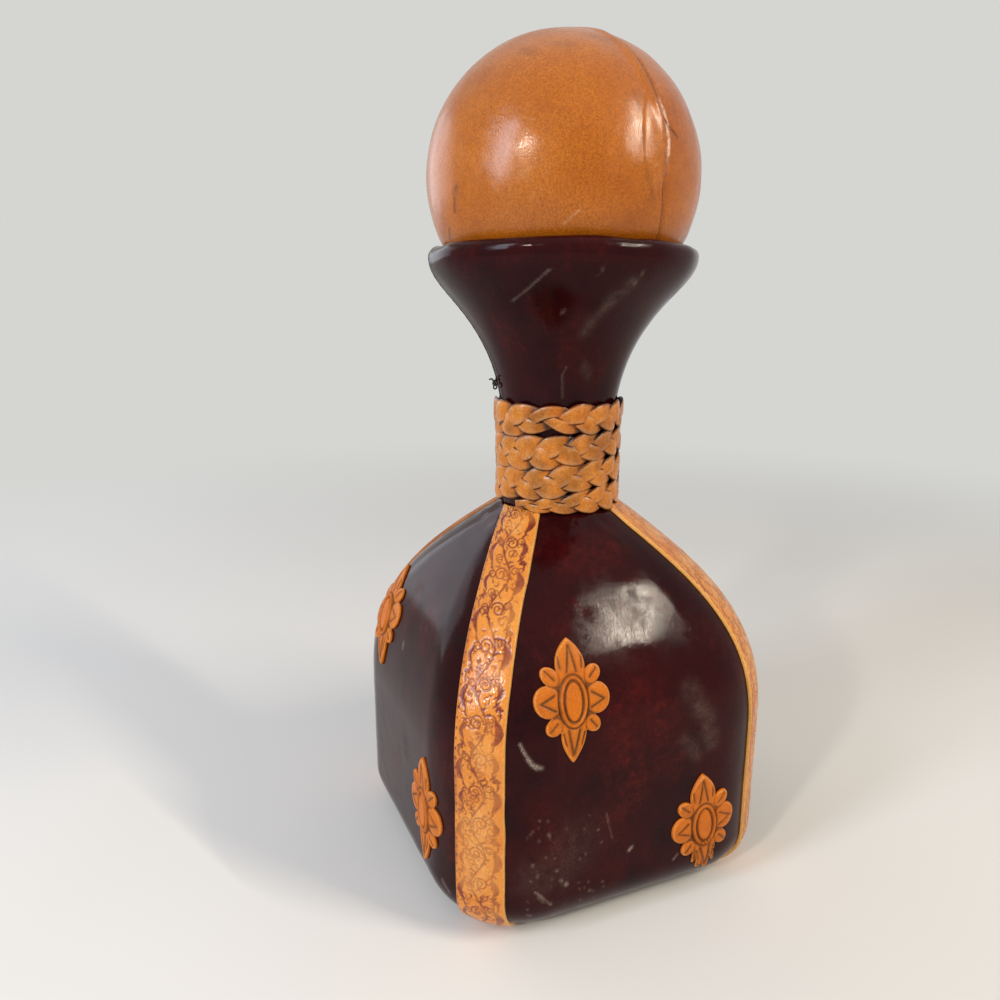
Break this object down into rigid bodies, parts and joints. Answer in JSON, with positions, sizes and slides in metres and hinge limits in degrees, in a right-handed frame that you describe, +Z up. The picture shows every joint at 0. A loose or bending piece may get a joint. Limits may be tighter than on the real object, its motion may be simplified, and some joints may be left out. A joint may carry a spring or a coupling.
{
  "type": "leather-covered decanter",
  "caption": "Square glass decanter covered in dark leather, with tooled tan corner strips, stamped medallions, a plaited neck band and a leather-covered ball stopper on a cork.",
  "frame": {"origin": "middle of the base, on the surface it stands on", "axes": "+Z up along the neck, -Y out of the front side, +X to the right as seen from the front"},
  "size_m": [0.1412, 0.1412, 0.3157],
  "materials": {
    "bottle_glass": "clear green-grey bottle glass",
    "sole_leather": "matt brown, worn",
    "dark_leather": "glossy oxblood, worn and scuffed",
    "tan_leather": "satin tan with darkened tooling",
    "stamped_leather": "satin tan with darkened recesses",
    "lace_leather": "satin tan",
    "ball_leather": "semi-gloss tan, lightly worn",
    "thread": "matt waxed thread",
    "wood": "plain turned wood",
    "cork": "natural cork"
  },
  "bodies": {
    "bottle": {"glass_bottle": "bottle_glass", "base_sole": "sole_leather", "panel_front": "dark_leather", "panel_right": "dark_leather", "panel_back": "dark_leather", "panel_left": "dark_leather", "corner_strip_front_right": "tan_leather", "corner_strip_back_right": "tan_leather", "corner_strip_back_left": "tan_leather", "corner_strip_front_left": "tan_leather", "medallion_front_upper": "stamped_leather", "medallion_front_lower": "stamped_leather", "medallion_right_upper": "stamped_leather", "medallion_right_lower": "stamped_leather", "medallion_back_upper": "stamped_leather", "medallion_back_lower": "stamped_leather", "medallion_left_upper": "stamped_leather", "medallion_left_lower": "stamped_leather", "neck_sleeve": "dark_leather", "sleeve_thread": "thread", "plait_lace_1": "lace_leather", "plait_lace_2": "lace_leather", "plait_lace_3": "lace_leather"},
    "stopper": {"stopper_ball": "wood", "stopper_cover_left": "ball_leather", "stopper_cover_right": "ball_leather", "stopper_cork": "cork", "stopper_dowel": "wood"}
  },
  "joints": [
    {"name": "stopper_lift", "type": "slide", "parent": "bottle", "child": "stopper", "axis": [0, 0, 1], "range_m": [0, 0.09]}
  ]
}
